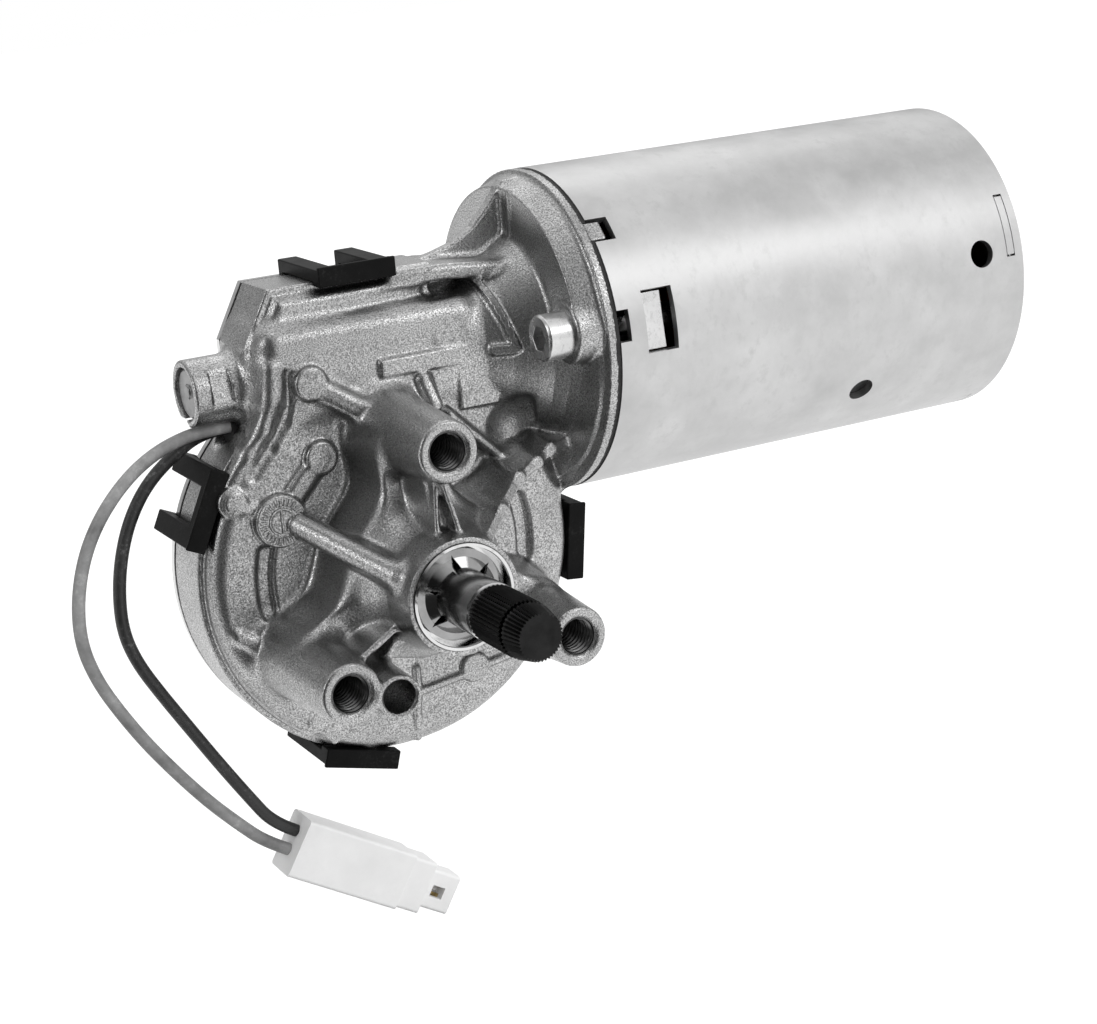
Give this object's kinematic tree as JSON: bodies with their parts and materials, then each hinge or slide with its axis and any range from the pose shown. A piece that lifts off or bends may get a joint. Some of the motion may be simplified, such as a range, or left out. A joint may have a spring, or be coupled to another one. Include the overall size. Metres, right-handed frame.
{
  "type": "wiper motor",
  "caption": "Permanent-magnet wiper motor with a worm gearbox in a cast housing, three tapped mounting pillars, a serrated output shaft and two leads with a connector.",
  "frame": {"origin": "centre of the circle of the three mounting pillars, on their faces, which is also on the output shaft's axis", "axes": "-Y along the output shaft, out of the housing; +X along the motor axis, from the gearbox to the motor's far end; +Z from the output shaft towards the motor axis"},
  "size_m": [0.2213, 0.1117, 0.164],
  "materials": {
    "cast_aluminium": "as-cast, sand-like grain",
    "rolled_steel": "rolled and zinc plated, satin",
    "pressed_steel": "bright pressed steel",
    "screw_steel": "zinc plated",
    "clip_plastic": "black moulded",
    "black_rubber": "matt black",
    "shaft_steel": "ground, black oxide on the serrated end",
    "bronze": "sintered bronze",
    "wheel_plastic": "natural acetal",
    "ferrite": "ground ferrite",
    "core_steel": "stacked electrical sheet",
    "enamelled_copper": "enamelled wire",
    "copper": "turned copper",
    "carbon": "carbon graphite",
    "spring_steel": "spring wire",
    "plate_plastic": "moulded plastic",
    "brass": "pressed brass",
    "grey_insulation": "grey lead insulation",
    "black_insulation": "black lead insulation",
    "white_nylon": "natural nylon"
  },
  "bodies": {
    "housing": {"gear_housing": "cast_aluminium", "gear_cover": "pressed_steel", "cover_gasket": "black_rubber", "cover_clips": "clip_plastic", "thrust_button": "wheel_plastic", "lead_grommet": "black_rubber", "motor_can": "rolled_steel", "can_end_plate": "rolled_steel", "can_end_bush": "bronze", "end_bush_retainer": "spring_steel", "flange_seal": "black_rubber", "can_screws": "screw_steel", "can_nuts": "screw_steel", "magnets": "ferrite", "magnet_springs": "pressed_steel", "bearing_outer_ring": "shaft_steel", "bearing_retainer": "pressed_steel", "tip_bush": "bronze", "thrust_plug": "screw_steel", "brush_plate": "plate_plastic", "brush_holders": "brass", "upper_brush_spring": "spring_steel", "lower_brush_spring": "spring_steel", "suppression_chokes": "ferrite", "front_hub_bush": "bronze", "rear_hub_bush": "bronze", "shaft_seal": "black_rubber", "hub_cup": "pressed_steel", "thrust_washer": "pressed_steel", "grey_lead": "grey_insulation", "black_lead": "black_insulation", "connector_housing": "white_nylon", "connector_terminals": "brass"},
    "armature": {"armature_shaft": "shaft_steel", "armature_core": "core_steel", "armature_windings": "enamelled_copper", "commutator": "copper", "bearing_inner_ring": "shaft_steel"},
    "bearing_cage_set": {"bearing_cage": "bronze", "bearing_balls": "shaft_steel"},
    "output": {"worm_wheel": "wheel_plastic", "wheel_hub": "shaft_steel", "output_shaft": "shaft_steel", "star_washer": "pressed_steel"},
    "upper_brush_body": {"upper_brush": "carbon"},
    "lower_brush_body": {"lower_brush": "carbon"}
  },
  "joints": [
    {"name": "armature_spin", "type": "hinge", "parent": "housing", "child": "armature", "pos_m": [0, 0.0427, 0.0416], "axis": [1, 0, 0], "continuous": true},
    {"name": "output_spin", "type": "hinge", "parent": "housing", "child": "output", "pos_m": [0, 0, 0], "axis": [0, -1, 0], "continuous": true},
    {"name": "bearing_cage_spin", "type": "hinge", "parent": "housing", "child": "bearing_cage_set", "pos_m": [0, 0.0427, 0.0416], "axis": [1, 0, 0], "continuous": true},
    {"name": "upper_brush_slide", "type": "slide", "parent": "housing", "child": "upper_brush_body", "axis": [0, 0.1495, 0.9888], "range_m": [0, 0.003], "stiffness_N_per_m": 300, "springref_m": -0.006, "deforming": ["upper_brush_spring"]},
    {"name": "lower_brush_slide", "type": "slide", "parent": "housing", "child": "lower_brush_body", "axis": [0, -0.1495, -0.9888], "range_m": [0, 0.003], "stiffness_N_per_m": 300, "springref_m": -0.006, "deforming": ["lower_brush_spring"]}
  ],
  "couplings": [
    {"joint": "output_spin", "follows": "armature_spin", "ratio": 0.016667},
    {"joint": "bearing_cage_spin", "follows": "armature_spin", "ratio": 0.36667}
  ]
}
